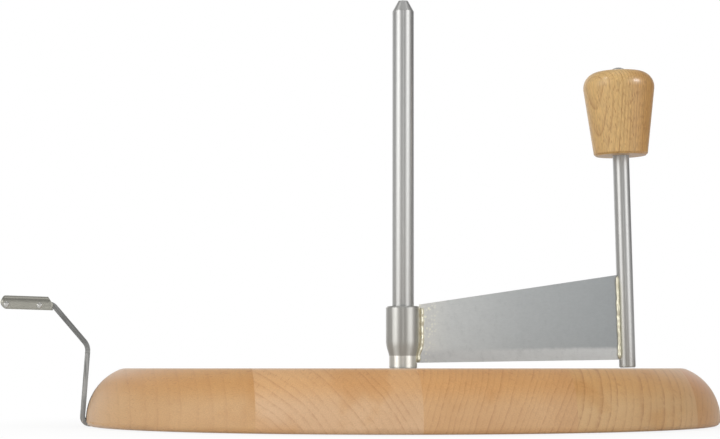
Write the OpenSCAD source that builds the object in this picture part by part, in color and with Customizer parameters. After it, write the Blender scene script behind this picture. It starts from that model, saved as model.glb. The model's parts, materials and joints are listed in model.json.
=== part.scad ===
// Rotary cheese curler. A round beech board carries a fixed steel spindle. A scraper arm
// turns and slides on the spindle, and a bent steel handle steadies the board.
// Millimetres, +Z up. The origin is the centre of the board's underside, on the spindle's axis.
// At rest the scraper arm points along +X. The steadying handle points along -X.

/* [Board] */
// Diameter of the round board
board_d = 230; // [220:1:240]
// Thickness of the board
board_t = 20.5; // [18:0.5:21.5]
// Radius of the rounded rim, in section
rim_r = 19; // [19:0.5:24]
// Radius of the rounding at the foot of the rim
foot_r = 2; // [2:0.5:3.5]
// Radius that softens the corner between the rim and the flat top
corner_r = 6; // [2:0.5:8]
// Width of a full stave
stave_w = 50.5; // [48:0.5:54]
// Distance from the spindle's axis to the glue line on its handle side
glue_line = 12; // [11:0.5:16]

/* [Spindle] */
// Diameter of the spindle
spindle_d = 8; // [7:0.5:8.5]
// Height of the spindle's tip above the board
spindle_h = 136.6; // [120:0.2:150]
// Height of the taper at the tip
tip_h = 4; // [3:0.5:6]
// Diameter of the flat on the tip
tip_d = 3.6; // [2:0.2:5]
// Depth of the spindle's seat in the board
seat_h = 8; // [6:0.5:8.5]
// Diameter of the threaded stud under the seat
stud_d = 6; // [5:0.5:6]

/* [Hub] */
// Running clearance of the hub and the thrust washer on the spindle, on radius
run_gap = 0.05; // [0.02:0.01:0.1]
// Diameter of the hub's barrel
hub_d = 12.7; // [12:0.1:14]
// Diameter of the hub's foot
hub_foot_d = 10.3; // [10:0.1:11.5]
// Height of the hub's foot
hub_foot_h = 4.6; // [3:0.2:6]
// Height of the taper between foot and barrel
hub_taper_h = 4.2; // [3:0.2:6]
// Height of the whole hub
hub_h = 22.8; // [20:0.2:23]
// Diameter of the thrust washer let into the board under the hub
thrust_d = 14; // [13:0.5:18]
// Thickness of the thrust washer
thrust_t = 1; // [0.5:0.1:1.5]

/* [Blade] */
// Thickness of the scraper blade
blade_t = 1.3; // [1:0.1:2]
// Clearance from the board to the blade's edge, at the hub
edge_hub_h = 2; // [1:0.1:2.5]
// Clearance from the board to the blade's edge, at the crank post
edge_post_h = 3.2; // [1:0.1:5]
// Height of the blade's back above the board, at the hub
back_hub_h = 23.5; // [23:0.1:26]
// Height of the blade's back above the board, at the crank post
back_post_h = 35; // [28:0.5:45]
// Height of the ground band along the edge
bevel_h = 4.3; // [2:0.1:6]
// Depth of the shallow grind on the blade's front face
grind_d = 0.12; // [0.05:0.01:0.2]
// Thickness left at the edge
edge_t = 0.35; // [0.2:0.05:0.6]
// Width of the brazed bead at the hub
hub_bead_w = 1.3; // [1:0.1:2]
// Radius of the brazed bead at the crank post
post_bead_r = 1.1; // [0.8:0.1:1.6]

/* [Crank post and knob] */
// Diameter of the crank post
post_d = 6.2; // [6:0.1:7]
// Distance from the spindle's axis to the post's axis, at the board's top
post_x = 85.2; // [75:0.2:95]
// Lean of the post towards the spindle, in degrees
post_lean = 1.35; // [0:0.05:3]
// Gap between the post's foot and the board
post_gap = 0.3; // [0.2:0.1:1]
// Distance along the post from the board's top to the knob's base
knob_z = 80.1; // [60:0.5:90]
// Height of the knob to its crown
knob_h = 32.4; // [28:0.2:40]
// Largest diameter of the knob
knob_d = 26.84; // [24:0.1:30]
// Diameter of the knob's base
knob_base_d = 20.4; // [16:0.1:22]
// Radius of the knob's shoulder, in section
shoulder_r = 6; // [4:0.5:7]
// Slope where the shoulder meets the crown, in degrees
crown_slope = 8.5; // [5:0.5:15]
// Diameter of the post's neck inside the knob
neck_d = 4.6; // [4.4:0.1:5]
// Depth of the post's full diameter inside the knob
knob_step_h = 10; // [6:0.5:14]
// Height of the retaining screw's dome above the knob's crown
dome_rise = 1.2; // [0.6:0.1:1.5]

/* [Steadying handle] */
// Thickness of the handle's strap
strap_t = 1.8; // [1.5:0.1:2]
// Width of the strap
strap_w = 15; // [12:0.5:18]
// Radius at which the strap starts, under the board
strap_start = 79; // [76:0.5:84]
// Radius of the strap's upright, at the underside
upright_u = 116.3; // [116.3:0.1:118]
// Height of the bend at the top of the upright, above the board
upright_h = 8; // [6:0.2:12]
// Radius of the strap at that bend
elbow_u = 114.5; // [114:0.1:116]
// Radius at which the thumb grip starts
grip_u = 127; // [126:0.1:130]
// Length of the thumb grip
grip_l = 18.4; // [16:0.2:24]
// Height of the thumb grip's lower edge, above the board
grip_h = 20.9; // [19:0.1:24]
// Depth of the thumb grip
grip_depth = 4.4; // [4.3:0.1:5.5]
// Upward tilt of the thumb grip, in degrees
grip_tilt = 1.6; // [0:0.1:4]
// Sheet thickness of the thumb grip
grip_sheet = 0.7; // [0.6:0.1:0.9]

/* [Hidden] */
$fn = 96;

BEECH = [0.82, 0.65, 0.46];
KNOB_BEECH = [0.78, 0.6, 0.42];
BRIGHT = [0.72, 0.72, 0.71];
SATIN = [0.66, 0.68, 0.69];
STRAP_GREY = [0.58, 0.57, 0.55];
BRAZE = [0.66, 0.6, 0.42];

slop = 1;                           // how far a cutting shape reaches past a face
board_r = board_d / 2;
rim_z = foot_r + 0.5;               // the rim is upright for half a millimetre above its foot
corner_rise = board_t - corner_r - rim_z;
corner_angle = asin(corner_rise / (rim_r - corner_r));
corner_centre = [board_r - rim_r + (rim_r - corner_r) * cos(corner_angle), board_t - corner_r];

stud_r = stud_d / 2;
spindle_r = spindle_d / 2;
counterbore_d = 19;
counterbore_h = 7.2;                // leaves solid wood between the nut and the spindle's shoulder
stud_end_z = 0.8;
washer_d = 14;
washer_t = 1.2;
nut_h = 5;
nut_flats = 10;

hub_r = hub_d / 2;
hub_foot_r = hub_foot_d / 2;
hub_bore_r = spindle_r + run_gap;
hub_chamfer = 0.6;
recess_gap = 0.2;                   // around the thrust washer, in the board
bite = 0.3;                         // the blade blank reaches this far into the hub and the post

post_r = post_d / 2;
neck_r = neck_d / 2;
knob_gap = 0.08;                    // running clearance of the knob on the post, on radius
end_float = 0.1;                    // the knob's end play on each side
knob_washer_d = 8.6;
knob_washer_t = 0.8;
screw_head_r = 2.7;
screw_head_h = 0.9;                 // the straight part of the head, under its dome
screw_dome_r = 4.6;
screw_dome_h = screw_dome_r - sqrt(pow(screw_dome_r, 2) - pow(screw_head_r, 2));
screw_r = 1.5;
screw_l = 9;
head_z = knob_h + dome_rise - screw_dome_h - screw_head_h;
neck_end_z = head_z - knob_washer_t;

shoulder_x = knob_d / 2 - shoulder_r;
crown_r = shoulder_r + shoulder_x / sin(crown_slope);
crown_z = knob_h - crown_r;
shoulder_z = crown_z + (crown_r - shoulder_r) * cos(crown_slope);

strap_screw_u = [87, 103];
strap_screw_r = 1.6;
strap_head_r = 3.3;
strap_screw_l = 14;
strap_fit = 0.1;                    // room around the strap in its recess
pin_r = 0.55;
grip_w = strap_w + 2 * strap_fit + 2 * grip_sheet;

// The straight stretches of the strap, as [radius, height above the underside]
elbow = [elbow_u, board_t + upright_h];
inner_strap_b = grip_depth - grip_sheet - 0.1 - strap_t / 2;    // the strap lies under the grip's roof
strap_line = [
    [strap_start, strap_t / 2], [upright_u, strap_t / 2], elbow,
    in_grip([-0.3, 1.3]), in_grip([3.3, inner_strap_b]), in_grip([grip_l - 3, inner_strap_b])
];
strap_bends = [2.5, 5, 3, 2];

// A point of the grip's side view, [distance from its inner end, height], as [radius, height]
function in_grip(p) = [
    grip_u + p.x * cos(grip_tilt) - p.y * sin(grip_tilt),
    board_t + grip_h + p.x * sin(grip_tilt) + p.y * cos(grip_tilt)
];

function unit(v) = v / norm(v);

// Points of the arc that rounds corner b between a and c
function corner_arc(a, b, c, r, steps = 8) =
    let (
        back = unit(a - b),
        ahead = unit(c - b),
        half = acos(back * ahead) / 2,
        centre = b + unit(back + ahead) * r / sin(half),
        first = b + back * r / tan(half) - centre,
        start = atan2(first.y, first.x),
        turn = (cross(back, ahead) < 0 ? 1 : -1) * (180 - 2 * half)
    )
    [for (i = [0:steps]) centre + r * [cos(start + turn * i / steps), sin(start + turn * i / steps)]];

// An open path with its inner corners rounded
function rounded_path(p, r) = [
    p[0],
    for (i = [1:len(p) - 2]) each corner_arc(p[i - 1], p[i], p[i + 1], r[i - 1]),
    p[len(p) - 1]
];

// The path moved sideways by d
function path_side(p, d) = [
    for (i = [0:len(p) - 1])
        let (
            before = i == 0 ? p[1] - p[0] : p[i] - p[i - 1],
            after = i == len(p) - 1 ? before : p[i + 1] - p[i],
            along = unit(unit(before) + unit(after))
        )
        p[i] + d * [-along.y, along.x]
];

function reversed(p) = [for (i = [len(p) - 1:-1:0]) p[i]];

// Distance of the post's near side from the spindle's axis, at height h above the board
function post_side_x(h) = post_x - h * tan(post_lean) - post_r / cos(post_lean);

// Where stave number i starts, counted from the handle's side
function stave_start(i) =
    i == 0 ? -board_r - slop : i == 5 ? board_r + slop : (i - 2) * stave_w - glue_line;

// Children are drawn in the plane of [radius, height], on the handle's side of the board
module handle_plane(width) {
    rotate([90, 0, 180]) linear_extrude(width, center = true) children();
}

// Children stand on the leaning axis of the crank post, with z = 0 at the board's top
module on_post(z = 0) {
    translate([post_x, 0, board_t]) rotate([0, -post_lean, 0]) translate([0, 0, z]) children();
}

module ring(outer_r, inner_r, h) {
    difference() {
        cylinder(h = h, r = outer_r);
        translate([0, 0, -slop]) cylinder(h = h + 2 * slop, r = inner_r);
    }
}

// What the soft corner takes off the board's section
module corner_waste() {
    reach = 2 * corner_r;
    translate(corner_centre) difference() {
        polygon([[0, 0], [0, reach], reach * [cos(corner_angle), sin(corner_angle)]]);
        circle(corner_r);
    }
}

// Half of the board's section
module board_section() {
    difference() {
        union() {
            square([board_r - rim_r, board_t]);
            intersection() {
                translate([board_r - rim_r, rim_z]) circle(rim_r);
                translate([0, rim_z]) square([board_r, board_t - rim_z]);
            }
        }
        corner_waste();
    }
    square([board_r - foot_r, rim_z]);
    translate([0, foot_r]) square([board_r, rim_z - foot_r]);
    intersection() {
        translate([board_r - foot_r, foot_r]) circle(foot_r);
        square([board_r, foot_r]);
    }
}

module stave_blank(i) {
    intersection() {
        rotate_extrude() board_section();
        translate([stave_start(i), -board_r - slop, -slop])
            cube([stave_start(i + 1) - stave_start(i), board_d + 2 * slop, board_t + 2 * slop]);
    }
}

module stave_left_outer() {
    color(BEECH) difference() {
        stave_blank(0);
        strap_blank(strap_fit);
        for (u = strap_screw_u) translate([-u, 0, 0]) strap_screw_shank();
    }
}

module stave_left_inner() {
    color(BEECH) stave_blank(1);
}

module stave_centre() {
    color(BEECH) difference() {
        stave_blank(2);
        translate([0, 0, -slop]) cylinder(h = counterbore_h + slop, d = counterbore_d);
        cylinder(h = board_t, r = stud_r);
        translate([0, 0, board_t - seat_h]) cylinder(h = seat_h + slop, r = spindle_r);
        translate([0, 0, board_t - thrust_t]) cylinder(h = thrust_t + slop, d = thrust_d + 2 * recess_gap);
    }
}

module stave_right_inner() {
    color(BEECH) stave_blank(3);
}

module stave_right_outer() {
    color(BEECH) stave_blank(4);
}

module spindle() {
    top = board_t + spindle_h;
    seat = board_t - seat_h;
    thread_chamfer = 0.6;
    color(BRIGHT) rotate_extrude() polygon([
        [0, stud_end_z], [stud_r - thread_chamfer, stud_end_z], [stud_r, stud_end_z + thread_chamfer],
        [stud_r, seat], [spindle_r, seat], [spindle_r, top - tip_h], [tip_d / 2, top], [0, top]
    ]);
}

module spindle_washer() {
    color(BRIGHT) translate([0, 0, counterbore_h - washer_t]) ring(washer_d / 2, stud_r, washer_t);
}

module spindle_nut() {
    color(BRIGHT) translate([0, 0, counterbore_h - washer_t - nut_h]) difference() {
        cylinder(h = nut_h, d = nut_flats / cos(30), $fn = 6);
        translate([0, 0, -slop]) cylinder(h = nut_h + 2 * slop, r = stud_r);
    }
}

// The bent strap, made larger all round by extra
module strap_blank(extra = 0) {
    path = rounded_path(strap_line, strap_bends);
    half = strap_t / 2 + extra;
    handle_plane(strap_w + 2 * extra)
        polygon(concat(path_side(path, half), reversed(path_side(path, -half))));
}

module strap_screw_head() {
    cylinder(h = strap_head_r - strap_screw_r, r1 = strap_head_r, r2 = strap_screw_r);
}

module strap_screw_shank() {
    point_h = 2.5;
    cylinder(h = strap_screw_l - point_h, r = strap_screw_r);
    translate([0, 0, strap_screw_l - point_h]) cylinder(h = point_h, r1 = strap_screw_r, r2 = 0.3);
}

module stay_strap() {
    color(STRAP_GREY) difference() {
        strap_blank();
        for (u = strap_screw_u) translate([-u, 0, 0]) {
            strap_screw_head();
            strap_screw_shank();
        }
    }
}

module strap_screws() {
    slot_w = 0.8;
    slot_l = 4;
    slot_h = 0.9;
    color(BRIGHT) for (u = strap_screw_u) translate([-u, 0, 0]) difference() {
        union() {
            strap_screw_head();
            strap_screw_shank();
        }
        for (turn = [0, 90]) rotate(turn) cube([slot_l, slot_w, 2 * slot_h], center = true);
    }
}

// Side view of the thumb grip, made smaller by inset on its top and outer end
module grip_side(inset) {
    top = grip_depth - inset;
    end = grip_l - inset;
    toe_r = 1.6;
    polygon(concat(
        [[0.4, 0], [0, 1.6], [1.9, top], [end - 1.4, top], [end, 2.1]],
        reversed(corner_arc([0, 0], [end - 0.3, 0], [end, 2.1], toe_r))
    ));
}

module grip_frame() {
    translate([grip_u, board_t + grip_h]) rotate(grip_tilt) children();
}

module pin_cylinders(extra = 0) {
    pin_b = inner_strap_b - strap_t / 2 - 0.05 - pin_r;
    for (a = [4.7, grip_l - 2.2]) handle_plane(grip_w + extra) grip_frame()
        translate([a, pin_b]) circle(pin_r);
}

module thumb_grip() {
    color(STRAP_GREY) difference() {
        handle_plane(grip_w) grip_frame() grip_side(0);
        handle_plane(grip_w - 2 * grip_sheet) grip_frame() {
            grip_side(grip_sheet);
            translate([-slop, -slop]) square([grip_l - 2.5, grip_depth - grip_sheet + slop]);
        }
        pin_cylinders(slop);
    }
}

module grip_pins() {
    color(BRIGHT) pin_cylinders();
}

module thrust_washer() {
    color(BRIGHT) translate([0, 0, board_t - thrust_t])
        ring(thrust_d / 2, spindle_r + run_gap, thrust_t);
}

// The hub before it is bored
module hub_blank() {
    foot_chamfer = 0.3;
    translate([0, 0, board_t]) rotate_extrude() polygon([
        [0, 0], [hub_foot_r - foot_chamfer, 0], [hub_foot_r, foot_chamfer], [hub_foot_r, hub_foot_h],
        [hub_r, hub_foot_h + hub_taper_h], [hub_r, hub_h - hub_chamfer],
        [hub_r - hub_chamfer, hub_h], [0, hub_h]
    ]);
}

module hub() {
    lead = 0.4;
    color(BRIGHT) difference() {
        hub_blank();
        translate([0, 0, board_t - slop]) cylinder(h = hub_h + 2 * slop, r = hub_bore_r);
        translate([0, 0, board_t + hub_h - lead])
            cylinder(h = lead, r1 = hub_bore_r, r2 = hub_bore_r + lead);
    }
}

// The blade's plate, with its ends still reaching into the hub and the post
module blade_plate() {
    translate([0, 0, board_t]) rotate([90, 0, 0]) linear_extrude(blade_t, center = true) polygon([
        [hub_foot_r - bite, edge_hub_h], [post_side_x(edge_post_h) + bite, edge_post_h],
        [post_side_x(back_post_h) + bite, back_post_h], [hub_r - bite, back_hub_h],
        [hub_r - bite, hub_foot_h + hub_taper_h], [hub_foot_r - bite, hub_foot_h]
    ]);
}

// What grinding removes along the edge, a shallow band in front and a wedge behind
module edge_cut() {
    edge_run = post_side_x(edge_post_h) - hub_foot_r;
    front = grind_d - blade_t / 2;
    translate([hub_foot_r, 0, board_t + edge_hub_h])
        rotate([0, -atan2(edge_post_h - edge_hub_h, edge_run), 0])
            rotate([90, 0, 90]) translate([0, 0, -slop]) linear_extrude(edge_run + 3 * slop) {
                polygon([
                    [-blade_t, -slop], [front, -slop], [front, 0],
                    [-blade_t / 2, bevel_h], [-blade_t, bevel_h]
                ]);
                polygon([
                    [blade_t, -slop], [front + edge_t, -slop], [front + edge_t, 0],
                    [blade_t / 2, bevel_h], [blade_t, bevel_h]
                ]);
            }
}

module post_blank() {
    foot_chamfer = 0.4;
    shoulder = knob_z + knob_step_h - end_float;
    on_post() rotate_extrude() polygon([
        [0, post_gap], [post_r - foot_chamfer, post_gap], [post_r, post_gap + foot_chamfer],
        [post_r, shoulder], [neck_r, shoulder], [neck_r, knob_z + neck_end_z], [0, knob_z + neck_end_z]
    ]);
}

module blade() {
    color(SATIN) difference() {
        blade_plate();
        edge_cut();
        hub_blank();
        post_blank();
    }
}

// A bead on each side of the blade, following the hub's outline
module hub_braze() {
    foot_r = hub_foot_r + hub_bead_w;
    chest_r = hub_r + hub_bead_w;
    chest_h = hub_foot_h + hub_taper_h;
    top_h = hub_h - hub_chamfer;
    color(BRAZE) difference() {
        translate([0, 0, board_t]) intersection() {
            rotate_extrude() polygon([
                [0, edge_hub_h + 0.2], [foot_r, edge_hub_h + 0.2], [foot_r, hub_foot_h],
                [chest_r, chest_h], [chest_r, top_h], [0, top_h]
            ]);
            for (side = [-1, 1]) translate([0, side * (blade_t + hub_bead_w) / 2 - hub_bead_w / 2, 0])
                cube([chest_r + slop, hub_bead_w, hub_h]);
        }
        hub_blank();
    }
}

module post_braze() {
    end_gap = 0.3;
    color(BRAZE) on_post(edge_post_h + end_gap)
        linear_extrude(back_post_h - edge_post_h - 2 * end_gap) difference() {
            for (y = [-blade_t / 2, blade_t / 2]) translate([-post_r, y]) circle(post_bead_r);
            circle(post_r);
            translate([-post_r, 0]) square([4 * post_bead_r, blade_t], center = true);
        }
}

module crank_post() {
    color(BRIGHT) difference() {
        post_blank();
        on_post(knob_z + neck_end_z - screw_l) cylinder(h = screw_l + slop, r = screw_r);
    }
}

// Half of the knob's section
module knob_section() {
    base_r = knob_base_d / 2;
    base_round = 0.7;
    flank = [shoulder_x + shoulder_r * cos(crown_slope), shoulder_z - shoulder_r * sin(crown_slope)];
    polygon([
        [0, 0], [base_r - base_round, 0], [base_r, base_round], flank,
        [shoulder_x, shoulder_z], [0, shoulder_z]
    ]);
    intersection() {
        translate([shoulder_x, shoulder_z]) circle(shoulder_r);
        square([knob_d, knob_h]);
    }
    intersection() {
        translate([0, crown_z]) circle(crown_r);
        translate([0, shoulder_z]) square([knob_d, knob_h]);
        polygon([[0, crown_z], [0, knob_h + slop], [(knob_h + slop - crown_z) * tan(crown_slope), knob_h + slop]]);
    }
}

module knob() {
    washer_seat = neck_end_z - end_float;
    color(KNOB_BEECH) on_post(knob_z) difference() {
        rotate_extrude() knob_section();
        translate([0, 0, -slop]) cylinder(h = knob_step_h + slop, r = post_r + knob_gap);
        cylinder(h = knob_h + slop, r = neck_r + knob_gap);
        translate([0, 0, washer_seat]) cylinder(h = knob_h, r = knob_washer_d / 2 + recess_gap);
    }
}

module knob_washer() {
    color(BRIGHT) on_post(knob_z + neck_end_z) ring(knob_washer_d / 2, screw_r, knob_washer_t);
}

module knob_screw() {
    socket_r = 1.15;
    socket_h = 1.1;
    color(BRIGHT) on_post(knob_z + head_z) difference() {
        union() {
            translate([0, 0, -knob_washer_t - screw_l + slop])
                cylinder(h = knob_washer_t + screw_l, r = screw_r);
            cylinder(h = screw_head_h, r = screw_head_r);
            rotate_extrude() intersection() {
                translate([0, screw_head_h + screw_dome_h - screw_dome_r]) circle(screw_dome_r);
                translate([0, screw_head_h]) square([screw_head_r, screw_dome_h]);
            }
        }
        translate([0, 0, screw_head_h + screw_dome_h - socket_h])
            cylinder(h = socket_h + slop, r = socket_r, $fn = 6);
    }
}

stave_left_outer();
stave_left_inner();
stave_centre();
stave_right_inner();
stave_right_outer();
spindle();
spindle_washer();
spindle_nut();
stay_strap();
strap_screws();
thumb_grip();
grip_pins();
thrust_washer();
hub();
blade();
hub_braze();
crank_post();
post_braze();
knob();
knob_washer();
knob_screw();
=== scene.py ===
"""Looks of the rotary cheese curler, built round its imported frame. Metres, +Z up."""

import json
import math

import bmesh
import bpy
from mathutils import Matrix, Vector, noise


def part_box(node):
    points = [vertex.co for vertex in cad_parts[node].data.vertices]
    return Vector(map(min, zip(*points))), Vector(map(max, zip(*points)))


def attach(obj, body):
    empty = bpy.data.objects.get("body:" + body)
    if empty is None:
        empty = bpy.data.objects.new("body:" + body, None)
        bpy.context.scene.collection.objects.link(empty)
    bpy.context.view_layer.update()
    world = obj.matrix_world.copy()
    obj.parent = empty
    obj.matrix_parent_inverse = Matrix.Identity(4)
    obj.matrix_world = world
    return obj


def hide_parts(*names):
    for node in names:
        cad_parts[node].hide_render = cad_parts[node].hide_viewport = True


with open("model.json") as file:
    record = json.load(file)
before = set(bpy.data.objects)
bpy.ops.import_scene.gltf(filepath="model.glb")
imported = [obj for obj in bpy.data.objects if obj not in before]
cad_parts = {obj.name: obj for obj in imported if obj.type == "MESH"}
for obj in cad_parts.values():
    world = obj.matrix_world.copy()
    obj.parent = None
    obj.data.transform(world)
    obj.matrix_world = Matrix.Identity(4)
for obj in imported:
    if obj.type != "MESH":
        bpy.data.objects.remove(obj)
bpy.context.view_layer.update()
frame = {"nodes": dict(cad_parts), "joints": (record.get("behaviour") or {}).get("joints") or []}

MM = 0.001
NODES = frame["nodes"]
SCENE = bpy.context.scene

# ---------------------------------------------------------------- places, read from the frame

BOARD_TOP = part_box("stave_centre")[1].z
KNOB_JOINT = next(j for j in frame["joints"] if j["name"] == "knob_spin")
POST_FOOT = Vector(KNOB_JOINT["pos_m"])
POST_AXIS = Vector(KNOB_JOINT["axis"]).normalized()

# ---------------------------------------------------------------- node trees


class Shader:
    """A node tree with short calls for the nodes used here. Lengths inside it are millimetres."""

    def __init__(self, owner):
        owner.use_nodes = True
        self.tree = owner.node_tree

    def plug(self, value, socket):
        if isinstance(value, bpy.types.NodeSocket):
            self.tree.links.new(value, socket)
        elif value is not None:
            socket.default_value = value

    def add(self, kind, *inputs, **settings):
        node = self.tree.nodes.new(kind)
        for key, value in settings.items():
            setattr(node, key, value)
        for socket, value in zip(node.inputs, inputs):
            self.plug(value, socket)
        return node

    def calc(self, operation, *inputs, clamp=False):
        return self.add("ShaderNodeMath", *inputs, operation=operation, use_clamp=clamp).outputs[0]

    def vector(self, operation, *inputs):
        node = self.add("ShaderNodeVectorMath", *inputs, operation=operation)
        scalar = operation in ("DOT_PRODUCT", "LENGTH", "DISTANCE")
        return node.outputs["Value" if scalar else "Vector"]

    def split(self, vector):
        return self.add("ShaderNodeSeparateXYZ", vector).outputs

    def join(self, x, y, z):
        return self.add("ShaderNodeCombineXYZ", x, y, z).outputs[0]

    def mix(self, share, first, second, blend="MIX"):
        node = self.add("ShaderNodeMix", data_type="RGBA", blend_type=blend)
        for name, value in (("Factor_Float", share), ("A_Color", first), ("B_Color", second)):
            self.plug(value, next(s for s in node.inputs if s.identifier == name))
        return next(s for s in node.outputs if s.identifier == "Result_Color")

    def grey(self, tone):
        return self.add("ShaderNodeCombineColor", tone, tone, tone).outputs[0]

    def noise(self, vector, scale, detail=2.0, roughness=0.5):
        node = self.add("ShaderNodeTexNoise")
        settings = {"Vector": vector, "Scale": scale, "Detail": detail, "Roughness": roughness}
        for name, value in settings.items():
            self.plug(value, node.inputs[name])
        return node.outputs["Fac"]

    def cells(self, vector):
        """Distance to the nearest cell point, and that cell's random value."""
        node = self.add("ShaderNodeTexVoronoi")
        self.plug(vector, node.inputs["Vector"])
        node.inputs["Scale"].default_value = 1.0
        return node.outputs["Distance"], self.split(node.outputs["Color"])[0]

    def step(self, value, low, high, to_low=0.0, to_high=1.0):
        """Smooth step from to_low at low to to_high at high."""
        node = self.add("ShaderNodeMapRange", interpolation_type="SMOOTHSTEP")
        settings = {
            "Value": value, "From Min": low, "From Max": high, "To Min": to_low, "To Max": to_high,
        }
        for name, setting in settings.items():
            self.plug(setting, node.inputs[name])
        return node.outputs["Result"]

    def ramp(self, value, stops):
        """Colour by straight lines between (place, colour) stops. A single number is a grey."""
        node = self.add("ShaderNodeValToRGB", value)
        elements = node.color_ramp.elements
        while len(elements) < len(stops):
            elements.new(1.0)
        for element, (place, colour) in zip(elements, stops):
            element.position = place
            rgb = colour if isinstance(colour, tuple) else (colour, colour, colour)
            element.color = (*rgb, 1.0)
        return node.outputs["Color"]

    def bump(self, height, distance, normal=None):
        """Height runs from 0 to 1 over distance millimetres."""
        node = self.add("ShaderNodeBump")
        node.inputs["Distance"].default_value = distance * MM
        self.plug(height, node.inputs["Height"])
        self.plug(normal, node.inputs["Normal"])
        return node.outputs["Normal"]


class Finish(Shader):
    """A material with one Principled shader."""

    def __init__(self, name):
        self.material = bpy.data.materials.new(name)
        super().__init__(self.material)
        self.bsdf = self.tree.nodes["Principled BSDF"]
        self.coords = self.tree.nodes.new("ShaderNodeTexCoord")

    def place(self):
        """The point in millimetres, in the row frame at rest."""
        per_metre = 1000.0
        return self.vector("MULTIPLY", self.coords.outputs["Object"], (per_metre, per_metre, per_metre))

    def set(self, **values):
        """Set Principled inputs by their names in lower case, such as base_color."""
        for name, value in values.items():
            label = name.replace("_", " ").title().replace("Ior", "IOR")
            self.plug(value, self.bsdf.inputs[label])
        return self.material


# ---------------------------------------------------------------- shapes


def rounded(corners, steps=5):
    """An open path of (a, b, radius) corners, as points with each corner turned into an arc."""
    points = []
    for i, (a, b, radius) in enumerate(corners):
        here = Vector((a, b))
        if radius == 0 or i in (0, len(corners) - 1):
            points.append(here)
            continue
        back = (Vector(corners[i - 1][:2]) - here).normalized()
        ahead = (Vector(corners[i + 1][:2]) - here).normalized()
        half = back.angle(ahead) / 2
        centre = here + (back + ahead).normalized() * radius / math.sin(half)
        first = here + back * radius / math.tan(half) - centre
        last = here + ahead * radius / math.tan(half) - centre
        turn = first.angle_signed(last)
        for k in range(steps + 1):
            swing = -turn * k / steps
            cos, sin = math.cos(swing), math.sin(swing)
            arm = Vector((first.x * cos - first.y * sin, first.x * sin + first.y * cos))
            points.append(centre + arm)
    return points


def lathe(profile, segments=96, hollow=False):
    """A bmesh turned round Z from (radius, height) points in millimetres. A hollow profile is a
    closed loop round a bore. Any other starts and ends on the axis."""
    bm = bmesh.new()
    rings = []
    for radius, height in profile:
        count = segments if radius > 0 else 1
        rings.append([
            bm.verts.new((
                radius * MM * math.cos(math.tau * k / segments),
                radius * MM * math.sin(math.tau * k / segments),
                height * MM,
            ))
            for k in range(count)
        ])
    pairs = zip(rings, rings[1:] + rings[:1]) if hollow else zip(rings, rings[1:])
    for low, high in pairs:
        for k in range(segments):
            corners = [low[k % len(low)], low[(k + 1) % len(low)]]
            corners += [high[(k + 1) % len(high)], high[k % len(high)]]
            bm.faces.new(list(dict.fromkeys(corners)))
    return bm


def piece(name, bm, body, stands_for, material, place=None, sharp=40):
    """Turn a bmesh into a piece that rides on a body and stands for CAD nodes."""
    if place is not None:
        bm.transform(place)
    bmesh.ops.recalc_face_normals(bm, faces=bm.faces)
    mesh = bpy.data.meshes.new(name)
    bm.to_mesh(mesh)
    bm.free()
    mesh.shade_smooth()
    mesh.set_sharp_from_angle(angle=math.radians(sharp))
    mesh.materials.append(material)
    obj = bpy.data.objects.new(name, mesh)
    SCENE.collection.objects.link(obj)
    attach(obj, body)
    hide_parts(*stands_for)
    return obj


WELD_GAP = 0.001                # millimetres


def soften(node, width, segments=3, angle=25):
    """Round a CAD node's sharp edges by width millimetres."""
    obj = NODES[node]
    weld = obj.modifiers.new("weld", "WELD")
    weld.merge_threshold = WELD_GAP * MM
    bevel = obj.modifiers.new("edge", "BEVEL")
    bevel.width = width * MM
    bevel.segments = segments
    bevel.limit_method = "ANGLE"
    bevel.angle_limit = math.radians(angle)
    bevel.use_clamp_overlap = True
    bevel.harden_normals = True


BEAD_STEPS = 60
TAPER_STEPS = 3.0               # how many steps an end takes to reach the full radius
BLUNT = 0.08                    # the share of the radius left at the very end
BROAD_LUMPS = 0.45              # per millimetre
FINE_LUMPS = 1.3


def bead(path, radius, seed, lumps, sides=16):
    """A bmesh of a lumpy rod of braze along a path of points in metres, closed at both ends.
    radius is in millimetres, and lumps is how much of it the lumps may add or take."""
    bm = bmesh.new()
    steps = []
    lengths = [0.0]
    for a, b in zip(path, path[1:]):
        lengths.append(lengths[-1] + (b - a).length)
    for k in range(BEAD_STEPS + 1):
        at = lengths[-1] * k / BEAD_STEPS
        i = max(j for j in range(len(path) - 1) if lengths[j] <= at)
        span = lengths[i + 1] - lengths[i]
        steps.append(path[i].lerp(path[i + 1], (at - lengths[i]) / span))
    rings = []
    for k, point in enumerate(steps):
        ahead = (steps[min(k + 1, BEAD_STEPS)] - steps[max(k - 1, 0)]).normalized()
        side = ahead.cross(Vector((0, 1, 0))).normalized()
        out = side.cross(ahead)
        end = min(1.0, min(k, BEAD_STEPS - k) / TAPER_STEPS)
        taper = math.sqrt(max(0.0, 1 - (1 - end) ** 2)) * (1 - BLUNT) + BLUNT
        ring = []
        for j in range(sides):
            turn = math.tau * j / sides
            spot = point / MM
            lump = noise.noise(spot * BROAD_LUMPS + Vector((seed, 0.4 * turn, 0)))
            lump += 0.6 * noise.noise(spot * FINE_LUMPS + Vector((0, seed, 0.3 * turn)))
            size = radius * MM * taper * (1 + lumps * lump)
            ring.append(bm.verts.new(point + (side * math.cos(turn) + out * math.sin(turn)) * size))
        rings.append(ring)
    for low, high in zip(rings, rings[1:]):
        for j in range(sides):
            bm.faces.new((low[j], low[(j + 1) % sides], high[(j + 1) % sides], high[j]))
    bm.faces.new(rings[0][::-1])
    bm.faces.new(rings[-1])
    return bm


def merged(*parts):
    """One bmesh from several."""
    whole = bmesh.new()
    for part in parts:
        mesh = bpy.data.meshes.new("part")
        part.to_mesh(mesh)
        part.free()
        whole.from_mesh(mesh)
        bpy.data.meshes.remove(mesh)
    return whole


# ---------------------------------------------------------------- materials

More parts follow.
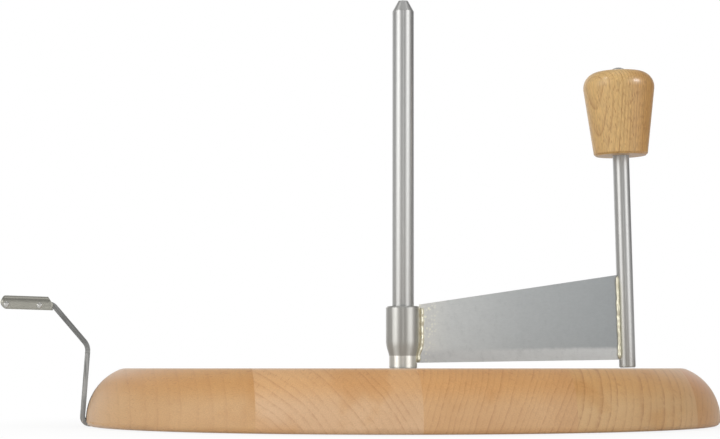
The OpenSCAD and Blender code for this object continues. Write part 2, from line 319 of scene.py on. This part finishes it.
# One growth ring from its inside to its outside: how much late wood there is
LATE_WOOD = [(0.0, 0.1), (0.1, 0.0), (0.62, 0.12), (0.84, 0.55), (0.93, 1.0), (1.0, 0.1)]
LINE_TINT = (0.66, 0.52, 0.42)  # rings, flecks and pores, as a share of the dark wood's colour
STAIN = (0.92, 0.83, 0.68, 1.0)
MIRRORED_WOOD = (0.56, 0.55, 0.52, 1.0)
MIRRORED_SHARE = 0.75           # how much of that grey the metals mirror in place of the wood's colour


def beech(
    name, axes, pith, ring_gap, light, dark, fleck, line,
    drift=1.6, ripple=0.5, seed=0.0, lacquer=0.15, gloss=0.4,
    pores=0.0, mottle=0.5, shade=None, sheen=0.0,
):
    """Solid beech. axes turns the row frame into (across, up, along the grain), and pith is the
    tree's centre in (across, up). Those two and ring_gap, drift and ripple are in millimetres. line,
    fleck, pores and mottle are how strongly the rings, rays, pores and fibres show. gloss is the
    roughness of the lacquer. shade is (mask, colour) for painted shade, where the colour is darker."""
    f = Finish(name)
    point = f.vector("SUBTRACT", f.place(), tuple(axes["origin"]))
    across = f.vector("DOT_PRODUCT", point, tuple(axes["across"]))
    up = f.vector("DOT_PRODUCT", point, tuple(axes["up"]))
    along = f.vector("DOT_PRODUCT", point, tuple(axes["along"]))

    slow = f.join(across, up, f.calc("MULTIPLY_ADD", along, 0.12, seed))
    bend_a = f.calc("MULTIPLY_ADD", f.noise(slow, 0.03, 1.0), drift * 2, -drift)
    elsewhere = f.vector("ADD", slow, (77.0, 31.0, 9.0))
    bend_b = f.calc("MULTIPLY_ADD", f.noise(elsewhere, 0.03, 1.0), drift * 2, -drift)
    wave = f.calc("MULTIPLY_ADD", f.noise(slow, 0.2, 2.0), ripple * 2, -ripple)
    u = f.calc("ADD", f.calc("SUBTRACT", across, pith[0]), f.calc("ADD", bend_a, wave))
    v = f.calc("ADD", f.calc("SUBTRACT", up, pith[1]), bend_b)
    radius = f.calc("POWER", f.calc("ADD", f.calc("MULTIPLY", u, u), f.calc("MULTIPLY", v, v)), 0.5)
    angle = f.calc("ARCTAN2", v, u)

    uneven = f.noise(f.join(radius, seed, 0.0), 0.09, 1.0)
    turns = f.calc("ADD", f.calc("DIVIDE", radius, ring_gap), f.calc("MULTIPLY", uneven, 1.8))
    ring = f.calc("FRACT", turns)
    late = f.ramp(ring, LATE_WOOD)
    strength = f.noise(f.join(f.calc("FLOOR", turns), seed, 4.0), 0.73, 0.0)
    late = f.calc("MULTIPLY", late, f.step(strength, 0.3, 0.7, 0.45, 1.15))
    worn = f.noise(f.join(across, up, f.calc("MULTIPLY", along, 0.1)), 0.55, 2.0, 0.6)
    late = f.calc("MULTIPLY", late, f.step(worn, 0.35, 0.6, 0.35, 1.15))

    mean_radius = max(12.0, math.hypot(*pith))
    rays = f.join(
        f.calc("MULTIPLY", radius, 0.16),
        f.calc("MULTIPLY", angle, mean_radius * 1.25),
        f.calc("MULTIPLY", along, 0.42),
    )
    near, pick = f.cells(rays)
    dash = f.calc("MULTIPLY", f.step(near, 0.34, 0.16), f.step(pick, 0.35, 0.75))
    grain = f.join(
        f.calc("MULTIPLY", across, 3.0),
        f.calc("MULTIPLY", up, 3.0),
        f.calc("MULTIPLY", along, 0.14),
    )
    fibre = f.noise(grain, 1.0, 3.0, 0.6)
    cloud = f.noise(slow, 0.05, 3.0, 0.6)
    facing = f.calc("ABSOLUTE", f.vector("DOT_PRODUCT", f.coords.outputs["Normal"], tuple(axes["along"])))
    end_grain = f.step(facing, 0.3, 0.9)

    share = f.calc("MULTIPLY_ADD", cloud, 1.3, -0.4, clamp=True)
    colour = f.mix(share, (*light, 1.0), (*dark, 1.0))
    tone = f.calc("MULTIPLY_ADD", fibre, mottle, 1 - mottle / 2)
    colour = f.mix(1.0, colour, f.grey(tone), "MULTIPLY")
    stain = f.step(f.noise(f.vector("ADD", slow, (5.0, 40.0, 2.0)), 0.045, 3.0, 0.55), 0.52, 0.66)
    colour = f.mix(f.calc("MULTIPLY", stain, 0.75), colour, STAIN, "MULTIPLY")
    brown = (*(c * k for c, k in zip(dark, LINE_TINT)), 1.0)
    colour = f.mix(f.calc("MULTIPLY", late, line), colour, brown)
    shown = f.calc("MULTIPLY", dash, f.calc("MULTIPLY_ADD", end_grain, -0.85 * fleck, fleck))
    colour = f.mix(shown, colour, brown)
    if pores:
        sparse, which = f.cells(f.join(
            f.calc("MULTIPLY", across, 2.4),
            f.calc("MULTIPLY", up, 2.4),
            f.calc("MULTIPLY", along, 0.24),
        ))
        pit = f.calc("MULTIPLY", f.step(sparse, 0.36, 0.14), f.step(which, 0.3, 0.9))
        colour = f.mix(f.calc("MULTIPLY", pit, pores), colour, brown)
    # Painted shade: where the mask says, the colour is multiplied darker
    if shade is not None:
        colour = f.mix(shade[0](f), colour, (*shade[1], 1.0), "MULTIPLY")
    mirrored = f.tree.nodes.new("ShaderNodeLightPath").outputs["Is Glossy Ray"]
    colour = f.mix(f.calc("MULTIPLY", mirrored, MIRRORED_SHARE), colour, MIRRORED_WOOD)

    sunk = f.calc("MULTIPLY", shown, -0.6)
    raised = f.calc("MULTIPLY", fibre, f.calc("MULTIPLY_ADD", end_grain, 0.4, 0.5))
    relief = f.calc("ADD", sunk, raised)
    rough = f.calc("ADD", f.calc("MULTIPLY_ADD", fibre, 0.16, 0.40), f.calc("MULTIPLY", end_grain, 0.06))
    return f.set(
        base_color=colour, roughness=rough, normal=f.bump(relief, 0.03),
        coat_weight=lacquer, coat_roughness=gloss, ior=1.46, sheen_weight=sheen, sheen_roughness=0.3,
    )


OFF_AXIS = Vector((0.011, 0.013, 0))    # keeps the tangent off the normal of a rod's flat end


def steel(
    name, colour, roughness, lines, depth, mottle=0.03, grit=0.06, tint=None, turned=None,
):
    """Ground metal. lines is how fine the marks are along x, y and z, per millimetre, and depth is
    how deep they are, in millimetres. mottle and grit are how much clouds and marks change the
    tone. tint takes the finish and its colour and returns a new colour. turned is the axis of a
    turned part, along which its highlights run."""
    f = Finish(name)
    if turned is not None:
        axis = f.add("ShaderNodeVectorTransform", tuple(turned + OFF_AXIS))
        axis.convert_from = "OBJECT"
        axis.convert_to = "WORLD"
        f.set(tangent=axis.outputs[0], anisotropic=1.0)
    place = f.place()
    marks = f.noise(f.vector("MULTIPLY", place, lines), 1.0, 3.0, 0.65)
    cloud = f.noise(place, 0.35, 3.0, 0.6)
    tone = f.calc(
        "ADD",
        f.calc("MULTIPLY_ADD", marks, grit * 2, 1 - grit),
        f.calc("MULTIPLY_ADD", cloud, mottle * 2, -mottle),
    )
    grey = (*colour, 1.0)
    if tint is not None:
        grey = tint(f, grey)
    grey = f.mix(1.0, grey, f.grey(tone), "MULTIPLY")
    rough = f.calc(
        "ADD",
        f.calc("MULTIPLY_ADD", marks, 0.10, roughness - 0.05),
        f.calc("MULTIPLY_ADD", cloud, 0.06, -0.03),
    )
    return f.set(base_color=grey, metallic=1.0, roughness=rough, normal=f.bump(marks, depth))


# ---------------------------------------------------------------- the board

BEECH_LIGHT = (0.64, 0.405, 0.215)
BEECH_DARK = (0.53, 0.30, 0.138)
BOARD_AXES = {"origin": (0, 0, 0), "across": (1, 0, 0), "up": (0, 0, 1), "along": (0, 1, 0)}

# Painted shade on the rim's shoulder, as a colour to multiply by; the right outer one's adds a stain
SHOULDER_PAINTED_SHADE = (1.0, 0.88, 0.68)
SHOULDER_SHADE_AND_STAIN = (0.98, 0.80, 0.52)

# Each stave's own tree: the pith's place across and up, the rings' spacing and how dark their lines
# are, the stave's tone and its rim's painted shade
STAVES = {
    "stave_left_outer": ((-180.0, 4.0), 4.2, 0.22, (0.87, 0.85, 0.77), SHOULDER_PAINTED_SHADE),
    "stave_left_inner": ((-95.0, -36.0), 2.5, 0.42, (0.96, 1.0, 1.10), SHOULDER_PAINTED_SHADE),
    "stave_centre": ((104.0, -30.0), 1.8, 0.38, (0.91, 0.87, 0.80), SHOULDER_PAINTED_SHADE),
    "stave_right_inner": ((-18.0, 25.0), 3.2, 0.50, (0.93, 0.94, 0.86), SHOULDER_PAINTED_SHADE),
    "stave_right_outer": ((30.0, 28.0), 3.0, 0.50, (0.86, 0.74, 0.53), SHOULDER_SHADE_AND_STAIN),
}

RIM_FROM = 12.5                 # how far below the top the painted shade begins, in millimetres
RIM_FULL = 4.0                  # and where it is at its darkest
RIM_EDGE = 0.9                  # above this it fades again, towards the flat top
RIM_END = 0.05


def dress(node, material):
    slots = NODES[node].data.materials
    slots.clear()
    slots.append(material)


def rim_painted_shade(f):
    """Painted shade where the rim turns over towards the top: a band below the top edge, darker and more
    orange.
    """
    height = f.split(f.place())[2]
    top = BOARD_TOP / MM
    low = f.step(height, top - RIM_FROM, top - RIM_FULL)
    return f.calc("MULTIPLY", low, f.step(height, top - RIM_EDGE, top - RIM_END, 1.0, 0.0))


# Each stave's rim gets painted shade on its shoulder, darker and more orange below the top
for index, (stave, (pith, gap, line, tone, rim_shade)) in enumerate(STAVES.items()):
    light = [c * k for c, k in zip(BEECH_LIGHT, tone)]
    dark = [c * k for c, k in zip(BEECH_DARK, tone)]
    dress(stave, beech(
        stave + "_beech", BOARD_AXES, pith, gap, light, dark,
        seed=17.0 * index, line=line, fleck=0.4, shade=(rim_painted_shade, rim_shade), sheen=0.35,
    ))

# ---------------------------------------------------------------- spindle and hub

HUB_LOW, HUB_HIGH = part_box("hub")
HUB_R = (HUB_HIGH.x - HUB_LOW.x) / 2 / MM
HUB_H = (HUB_HIGH.z - HUB_LOW.z) / MM
SPINDLE_R = (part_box("spindle")[1].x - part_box("spindle")[0].x) / 2 / MM
FOOT_R = 5.15                   # the hub's narrow foot, then the cone up to its barrel
FOOT_H = 4.6
CONE_TOP = 8.8
BORE_R = SPINDLE_R + 0.05
UPRIGHT = Vector((0, 0, 1))
TURNED_LINES = (0.2, 0.2, 8.0)
TURNED_DEPTH = 0.0008
# The hub's foot is painted this brighter colour, standing in for light falling on it
FOOT_PAINTED_LIGHT = (0.90, 0.88, 0.82, 1.0)
STRAW = (0.50, 0.455, 0.33, 1.0)
OLIVE = (0.52, 0.51, 0.39, 1.0)


def hub_outline():
    """Half of the hub's section, with a chamfer at the foot, the barrel's top and the bore's top."""
    foot, barrel, bore = 0.3, 0.6, 0.4
    return rounded([
        (BORE_R, 0, 0),
        (FOOT_R - foot, 0, 0.1),
        (FOOT_R, foot, 0.1),
        (FOOT_R, FOOT_H, 0.6),
        (HUB_R, CONE_TOP, 10),
        (HUB_R, HUB_H - barrel, 0.15),
        (HUB_R - barrel, HUB_H, 0.15),
        (BORE_R + bore, HUB_H, 0.15),
        (BORE_R, HUB_H - bore, 0),
    ])


def hub_foot_light_and_heat_tint(f, grey):
    """Painted light on the foot, brighter than the cone above it; straw-tinted on the side that was
    brazed.
    """
    x, _, z = f.split(f.place())
    above = f.calc("SUBTRACT", z, HUB_LOW.z / MM)
    # Painted light: below the cone the foot is brighter
    grey = f.mix(f.step(above, FOOT_H + 0.1, FOOT_H - 0.1), grey, FOOT_PAINTED_LIGHT)
    side = f.step(x, HUB_R * 0.45, HUB_R * 0.95)
    blotch = f.noise(f.place(), 0.45, 2.0)
    return f.mix(f.calc("MULTIPLY", side, f.step(blotch, 0.25, 0.7, 0.5, 1.0)), grey, STRAW)


def post_heat(f, grey):
    """Olive tint down the side of the post that the blade is brazed to."""
    x, _, z = f.split(f.place())
    above = f.calc("SUBTRACT", z, POST_FOOT.z / MM)
    axis_x = f.calc("MULTIPLY_ADD", above, POST_AXIS.x / POST_AXIS.z, POST_FOOT.x / MM)
    side = f.step(f.calc("SUBTRACT", x, axis_x), -2.9, -1.3, 1.0, 0.0)
    low, high = (corner.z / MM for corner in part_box("post_braze"))
    from_foot = f.step(z, low - 1, low + 3)
    to_top = f.step(z, high - 6, high + 1, 1.0, 0.0)
    ends = f.calc("MULTIPLY", from_foot, to_top)
    return f.mix(f.calc("MULTIPLY", side, f.calc("MULTIPLY", ends, 0.8)), grey, OLIVE)


# Large metal parts keep a roughness of at least 0.31: smoother ones come out speckled when denoised
bright = steel(
    "bright_steel", (0.64, 0.64, 0.625), 0.31, TURNED_LINES, TURNED_DEPTH, turned=UPRIGHT
)
post_steel = steel(
    "post_steel", (0.61, 0.61, 0.595), 0.32, TURNED_LINES, TURNED_DEPTH, tint=post_heat, turned=POST_AXIS
)
hub_steel = steel(
    "hub_steel", (0.59, 0.585, 0.555), 0.31, (0.2, 0.2, 14.0), TURNED_DEPTH, tint=hub_foot_light_and_heat_tint, turned=UPRIGHT
)
for node in ("spindle", "thrust_washer"):
    dress(node, bright)
dress("crank_post", post_steel)
soften("spindle", 0.3, 4)
soften("crank_post", 0.15)
piece(
    "hub_turned", lathe(hub_outline(), hollow=True), "scraper_arm", ["hub"], hub_steel,
    Matrix.Translation((0, 0, HUB_LOW.z)),
)

# ---------------------------------------------------------------- blade and braze

BLADE_LOW, BLADE_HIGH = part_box("blade")
BLADE_HALF = (BLADE_HIGH.y - BLADE_LOW.y) / 2
EDGE_RISE = 1.2                 # how much higher the ground band's top is at the post, in millimetres

# The blade's tone by the share of the way out to its far end
BLADE_TONES = [
    (0.06, (0.74, 0.73, 0.69)),
    (0.22, (0.62, 0.63, 0.62)),
    (0.55, (0.47, 0.485, 0.485)),
    (1.0, (0.35, 0.365, 0.37)),
]
GROUND_EDGE = (0.62, 0.625, 0.62, 1.0)
GRIME = (0.36, 0.37, 0.375, 1.0)
SPATTER = (0.95, 0.93, 0.78, 1.0)


def blade_wear(f, _grey):
    """Mill finish that darkens towards the post, a ground band along the edge, and braze spatter
    at the hub. It sets the blade's whole colour."""
    place = f.place()
    x, _, z = f.split(place)
    along = f.step(x, BLADE_LOW.x / MM, BLADE_HIGH.x / MM)
    body = f.ramp(f.calc("DIVIDE", x, BLADE_HIGH.x / MM), BLADE_TONES)
    rise = f.calc("MULTIPLY", along, EDGE_RISE)
    above = f.calc("SUBTRACT", f.calc("SUBTRACT", z, BLADE_LOW.z / MM), rise)
    soft = f.calc("MULTIPLY_ADD", f.noise(place, 0.6, 2.0), 0.8, -0.4)
    band = f.step(f.calc("ADD", above, soft), 3.6, 5.2, 1.0, 0.0)
    colour = f.mix(band, body, GROUND_EDGE)
    grime = f.noise(f.vector("MULTIPLY", place, (0.5, 0.5, 0.35)), 1.0, 5.0, 0.7)
    colour = f.mix(f.step(grime, 0.5, 0.75, 0.0, 0.25), colour, GRIME)
    near, pick = f.cells(f.vector("MULTIPLY", place, (0.9, 0.9, 0.9)))
    spots = f.calc("MULTIPLY", f.step(near, 0.55, 0.25), f.step(pick, 0.25, 0.5))
    close = f.calc("MULTIPLY", f.step(x, 7.0, 15.0, 0.9, 0.0), f.step(above, 4.0, 18.0, 0.35, 1.0))
    return f.mix(f.calc("MULTIPLY", spots, close), colour, SPATTER)


dress("blade", steel(
    "blade_steel", (0.5, 0.5, 0.5), 0.36, (0.9, 0.9, 2.2), 0.006, mottle=0.05, grit=0.08, tint=blade_wear
))
soften("blade", 0.12)
braze = steel("braze", (0.82, 0.78, 0.62), 0.33, (0.9, 0.9, 0.9), 0.006, mottle=0.1)

HUB_BEAD_R = 0.88
POST_BEAD_R = 0.62
POST_R = 3.1


def hub_bead(side, seed):
    """A bead in the corner between the hub and one face of the blade, from under its edge to its back."""
    low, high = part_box("hub_braze")
    y = side * (BLADE_HALF + HUB_BEAD_R * 0.35 * MM)
    proud = 0.42 * MM
    spans = 24
    path = []
    for k in range(spans + 1):
        z = low.z + (high.z - low.z) * k / spans
        height = (z - HUB_LOW.z) / MM
        share = min(1.0, max(0.0, (height - FOOT_H) / (CONE_TOP - FOOT_H)))
        radius = (FOOT_R + (HUB_R - FOOT_R) * share) * MM
        path.append(Vector((math.sqrt(radius ** 2 - y ** 2) + proud, y, z)))
    return bead(path, HUB_BEAD_R, seed, lumps=0.3)


def post_bead(side, seed):
    """A bead between the crank post and one face of the blade."""
    low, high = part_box("post_braze")
    y = side * (BLADE_HALF + 0.30 * MM)
    proud = 0.16 * MM
    out = math.sqrt((POST_R * MM) ** 2 - y ** 2) + proud
    spans = 16
    path = []
    for k in range(spans + 1):
        z = low.z + (high.z - low.z) * k / spans
        axis_x = POST_FOOT.x + POST_AXIS.x / POST_AXIS.z * (z - POST_FOOT.z)
        path.append(Vector((axis_x - out, y, z)))
    return bead(path, POST_BEAD_R, seed, lumps=0.4)


hub_beads = merged(hub_bead(-1, 3.7), hub_bead(1, 8.2))
post_beads = merged(post_bead(-1, 1.9), post_bead(1, 6.4))
piece("hub_beads", hub_beads, "scraper_arm", ["hub_braze"], braze, sharp=80)
piece("post_beads", post_beads, "scraper_arm", ["post_braze"], braze, sharp=80)

# ---------------------------------------------------------------- steadying handle

STRAP_SLOPE = math.radians(51)
# The colour of the strap's slope, painted darker as shade
SLOPE_PAINTED_SHADE = (0.30, 0.30, 0.29, 1.0)
STREAK = (0.14, 0.14, 0.135, 1.0)


def strap_streaks_and_slope_shade(f, grey):
    """Drawing streaks along the strap, on the upright and on the slope, and painted shade that makes
    the slope darker than the upright."""
    x, y, z = f.split(f.place())
    level = f.calc("MULTIPLY", x, math.sin(STRAP_SLOPE))
    tilted = f.calc("ADD", level, f.calc("MULTIPLY", z, math.cos(STRAP_SLOPE)))
    sloping = f.step(z, BOARD_TOP / MM + 5.0, BOARD_TOP / MM + 10.0)
    across = f.calc("ADD", f.calc("MULTIPLY", f.calc("SUBTRACT", tilted, x), sloping), x)
    drawn = f.join(
        f.calc("MULTIPLY", across, 1.5),
        f.calc("MULTIPLY", y, 1.5),
        f.calc("MULTIPLY", z, 0.12),
    )
    streak = f.noise(drawn, 1.0, 2.0)
    # Painted shade: the slope is darker than the upright
    colour = f.mix(sloping, grey, SLOPE_PAINTED_SHADE)
    return f.mix(f.step(streak, 0.35, 0.65, 0.6, 0.0), colour, STREAK)


strap_steel = steel(
    "strap_steel", (0.45, 0.445, 0.43), 0.33, (1.0, 3.0, 1.0), 0.001, tint=strap_streaks_and_slope_shade
)
grip_steel = steel("grip_steel", (0.42, 0.41, 0.36), 0.31, (0.3, 1.0, 2.0), 0.001, mottle=0.05)
dress("stay_strap", strap_steel)
soften("stay_strap", 0.45, 4)

GRIP_LOW, GRIP_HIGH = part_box("thumb_grip")
GRIP_W = (GRIP_HIGH.y - GRIP_LOW.y) / MM
GRIP_L = 18.4
GRIP_D = 4.4
GRIP_TILT = math.radians(1.6)
GRIP_PLACE = (
    Matrix.Translation((GRIP_HIGH.x, 0, GRIP_LOW.z))
    @ Matrix.Rotation(GRIP_TILT, 4, "Y")
    @ Matrix.Diagonal((-1, 1, 1, 1))
)
SHEET = 0.7                     # the pressed cap's thickness
PIN_R = 0.55


def spread(value, stops):
    """Straight-line interpolation through (value, result) stops."""
    for (a, fa), (b, fb) in zip(stops, stops[1:]):
        if value <= b:
            return fa + (fb - fa) * (value - a) / (b - a)
    return stops[-1][1]


def grip_shell():
    """A pressed cap, open below and at its inner end. x runs outwards from the inner end. Lengths
    are millimetres."""
    shoulder = 2.3
    end_round = 1.1
    half = GRIP_W / 2
    # (y, z, outward y, outward z) up one side, over the shoulder and along the roof, then mirrored
    section = [(-half, z, -1.0, 0.0) for z in (0.0, 0.7, 1.4, 1.9, GRIP_D - shoulder)]
    spans = 9
    for k in range(1, spans):
        turn = math.pi / 2 * k / spans
        cos, sin = math.cos(turn), math.sin(turn)
        y = -half + shoulder - shoulder * cos
        section.append((y, GRIP_D - shoulder + shoulder * sin, -cos, sin))
    section += [(y, GRIP_D, 0.0, 1.0) for y in (-half + shoulder, -half / 3)]
    section += [(-y, z, -ny, nz) for y, z, ny, nz in reversed(section)]

    # (height, x) down each end of the cap seen from the side
    inner_end = [(0.0, 0.4), (1.6, 0.0), (GRIP_D, 1.9)]
    outer_end = [
        (0.0, GRIP_L - 1.1),
        (0.7, GRIP_L - 0.4),
        (1.4, GRIP_L - 0.1),
        (2.1, GRIP_L),
        (GRIP_D, GRIP_L - 0.6),
    ]
    stations = [(share, 0.0) for share in (0.0, 0.06, 0.2, 0.4, 0.6, 0.8, 0.94)]
    stations += [(1.0, math.pi / 2 * k / 7) for k in range(8)]
    bm = bmesh.new()
    loops = []
    for share, turn in stations:
        loop = []
        for y, z, ny, nz in section:
            inset = end_round * (1 - math.cos(turn))
            start, end = spread(z, inner_end), spread(z, outer_end) - end_round
            x = start + (end - start) * share + end_round * math.sin(turn)
            loop.append(bm.verts.new((x * MM, (y - ny * inset) * MM, (z - nz * inset) * MM)))
        loops.append(loop)
    last = len(section) - 1
    for a, b in zip(loops, loops[1:]):
        for k in range(last):
            bm.faces.new((a[k], a[k + 1], b[k + 1], b[k]))
    end = loops[-1]
    for k in range(last // 2):
        bm.faces.new((end[k], end[k + 1], end[last - k - 1], end[last - k]))
    return bm


grip = piece(
    "thumb_cap", grip_shell(), "base", ["thumb_grip"], grip_steel, GRIP_PLACE, sharp=50
)
wall = grip.modifiers.new("sheet", "SOLIDIFY")
wall.thickness = SHEET * MM
wall.offset = -1.0
wall.use_even_offset = False
trim = grip.modifiers.new("trim", "BEVEL")
trim.width = 0.15 * MM
trim.segments = 2
trim.limit_method = "ANGLE"
trim.angle_limit = math.radians(50)


def rivet():
    """A pin through the grip with a domed, dimpled head at each end."""
    reach = GRIP_W / 2
    head_r = 1.0
    half = rounded([
        (PIN_R, 0, 0),
        (PIN_R, reach - 0.1, 0),
        (head_r, reach - 0.1, 0),
        (head_r, reach + 0.1, 0.08),
        (0.7, reach + 0.38, 0.3),
        (0.3, reach + 0.42, 0.1),
        (0.15, reach + 0.3, 0.1),
        (0, reach + 0.3, 0),
    ], 3)
    far = half[1:]
    near = [(p.x, -p.y) for p in reversed(far)]
    return lathe(near + far, 32)


def rivets():
    """Both pins: the outer one is the higher."""
    low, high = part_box("grip_pins")
    in_by = PIN_R * MM
    parts = []
    for x, z in ((low.x + in_by, high.z - in_by), (high.x - in_by, low.z + in_by)):
        part = rivet()
        part.transform(Matrix.Translation((x, 0, z)) @ Matrix.Rotation(math.pi / 2, 4, "X"))
        parts.append(part)
    return merged(*parts)


fastener = steel("fastener_steel", (0.60, 0.59, 0.56), 0.14, (2.0, 2.0, 2.0), 0.0005)
piece("grip_rivets", rivets(), "base", ["grip_pins"], fastener)
for node in ("spindle_washer", "spindle_nut", "strap_screws", "knob_washer", "knob_screw"):
    dress(node, fastener)
    soften(node, 0.12, 2)

# ---------------------------------------------------------------- knob

KNOB_AXES = {
    "origin": tuple(POST_FOOT / MM),
    "along": tuple(POST_AXIS),
    "across": (POST_AXIS.z, 0.0, -POST_AXIS.x),
    "up": (0.0, 1.0, 0.0),
}


def knob_shaded_side(f):
    """Painted shade on the knob's right side, away from the spindle."""
    x = f.split(f.place())[0]
    return f.step(x, POST_FOOT.x / MM - 5.0, POST_FOOT.x / MM + 4.0)


# The knob's right side gets painted shade, darker and more orange
dress("knob", beech(
    "knob_beech", KNOB_AXES, (-62.6, -35.3), 1.15, (0.64, 0.45, 0.205), (0.49, 0.305, 0.112),
    drift=1.0, ripple=0.15, seed=5.0, lacquer=0.5, gloss=0.2, fleck=0.3, line=1.0, pores=1.0, mottle=1.0,
    shade=(knob_shaded_side, (0.86, 0.71, 0.50)),
))

# ---------------------------------------------------------------- studio

EYE_AZIMUTH = math.radians(-9.2)
EYE_DISTANCE = 0.719            # from the spindle, level with the board's top
EYE_PITCH = math.radians(4.366)         # upwards
LENS = 97.45
AXIS_SHIFT = -0.0599            # the spindle stands right of the middle of the picture

WHITE = (1.0, 1.0, 1.0, 1.0)
SLIT = (2.4, 2.4, 2.4, 1.0)     # a bright strip straight behind the camera, up to the horizon
SKY = (0.38, 0.38, 0.38, 1.0)

# The walls' brightness by compass direction: 0 is behind the camera, 90 is to its right
WALLS = [
    (-180, 0.9), (-150, 0.75), (-122, 0.36), (-100, 0.42), (-86, 0.6), (-74, 1.6), (-51, 2.5),
    (-41, 1.65), (-30, 0.8), (-20, 0.44), (15, 0.43), (26, 0.8), (38, 1.8), (56, 2.2),
    (66, 1.35), (78, 0.6), (90, 0.33), (106, 0.17), (132, 0.12), (152, 0.5), (180, 0.9),
]

look = Vector((-math.sin(EYE_AZIMUTH), math.cos(EYE_AZIMUTH), 0))
right = Vector((math.cos(EYE_AZIMUTH), math.sin(EYE_AZIMUTH), 0))


def add_camera():
    data = bpy.data.cameras.new("camera")
    data.lens = LENS
    data.sensor_width = 36.0
    data.shift_x = AXIS_SHIFT
    data.clip_start = 0.01
    camera = bpy.data.objects.new("camera", data)
    SCENE.collection.objects.link(camera)
    camera.location = -look * EYE_DISTANCE + Vector((0, 0, BOARD_TOP))
    camera.rotation_euler = (math.pi / 2 + EYE_PITCH, 0, EYE_AZIMUTH)
    SCENE.camera = camera


def add_softbox(name, azimuth, elevation, distance, size, power, mirrored_in=None):
    """A square lamp seen from the spindle at azimuth (right of the camera is positive) and elevation.
    With mirrored_in it only shows as a highlight on that collection's objects. Without, it lights
    matt surfaces and nothing mirrors it."""
    side, rise = math.radians(azimuth), math.radians(elevation)
    level = -look * math.cos(side) + right * math.sin(side)
    data = bpy.data.lights.new(name, "AREA")
    data.size = size
    data.energy = power
    lamp = bpy.data.objects.new(name, data)
    SCENE.collection.objects.link(lamp)
    direction = level * math.cos(rise) + Vector((0, 0, math.sin(rise)))
    lamp.location = direction * distance + Vector((0, 0, BOARD_TOP))
    lamp.rotation_euler = direction.to_track_quat("Z", "Y").to_euler()
    lamp.visible_glossy = mirrored_in is not None
    if mirrored_in is not None:
        lamp.visible_diffuse = False
        lamp.light_linking.receiver_collection = mirrored_in


def add_world():
    """The studio's walls as metal sees them, with a grey sky and a white ceiling lamp above. The
    camera itself sees white."""
    world = bpy.data.worlds.new("studio")
    SCENE.world = world
    s = Shader(world)
    background = s.tree.nodes["Background"]
    direction = s.tree.nodes.new("ShaderNodeTexCoord").outputs["Generated"]
    side = s.vector("DOT_PRODUCT", direction, tuple(right))
    toward = s.vector("DOT_PRODUCT", direction, tuple(-look))
    turn = s.calc("ARCTAN2", side, toward)
    compass = s.calc("MULTIPLY_ADD", turn, 1 / math.tau, 0.5)
    walls = s.ramp(compass, [((degrees + 180) / 360, level) for degrees, level in WALLS])
    height = s.split(direction)[2]
    narrow = s.step(s.calc("ABSOLUTE", turn), 0.13, 0.05)
    slit = s.calc("MULTIPLY", narrow, s.step(height, 0.04, 0.14, 1.0, 0.0))
    walls = s.mix(slit, walls, SLIT)
    gain = s.step(height, -0.05, 0.25, 1.0, 1.2)
    walls = s.mix(1.0, walls, s.grey(gain), "MULTIPLY")
    colour = s.mix(s.step(height, 0.3, 0.75), walls, SKY)
    colour = s.mix(s.step(height, 0.92, 0.99), colour, WHITE)
    camera_ray = s.tree.nodes.new("ShaderNodeLightPath").outputs["Is Camera Ray"]
    s.plug(s.mix(camera_ray, colour, WHITE), background.inputs["Color"])


def add_floor():
    """A pale floor that shows a soft contact shadow and otherwise melts into the white background."""
    below = 0.0003              # keeps the floor out of the board's underside
    bpy.ops.mesh.primitive_plane_add(size=6.0, location=(0, 0, -below))
    floor = bpy.context.object
    floor.name = "floor"
    f = Finish("pale_floor")
    f.set(base_color=(0.9, 0.9, 0.9, 1.0), roughness=0.9)
    glow = f.add("ShaderNodeEmission", WHITE, 1.0)
    camera_ray = f.tree.nodes.new("ShaderNodeLightPath").outputs["Is Camera Ray"]
    away = f.step(f.vector("LENGTH", f.place()), 90.0, 200.0, 0.84, 1.0)
    white = f.calc("MULTIPLY", camera_ray, away)
    shown = f.add("ShaderNodeMixShader", white, f.bsdf.outputs[0], glow.outputs[0])
    f.plug(shown.outputs[0], f.tree.nodes["Material Output"].inputs["Surface"])
    floor.data.materials.append(f.material)


add_camera()
add_world()
add_floor()
lacquered = bpy.data.collections.new("lacquered")
lacquered.objects.link(NODES["knob"])
add_softbox("key_right", 60, 29, 1.1, 0.26, 4.5, mirrored_in=lacquered)
add_softbox("key_left", -60, 51, 1.2, 0.25, 1.4, mirrored_in=lacquered)
add_softbox("fill_left", -50, 40, 1.2, 0.5, 4.2)
add_softbox("fill_right", 60, 35, 1.2, 0.5, 1.4)
SCENE.view_settings.view_transform = "Standard"
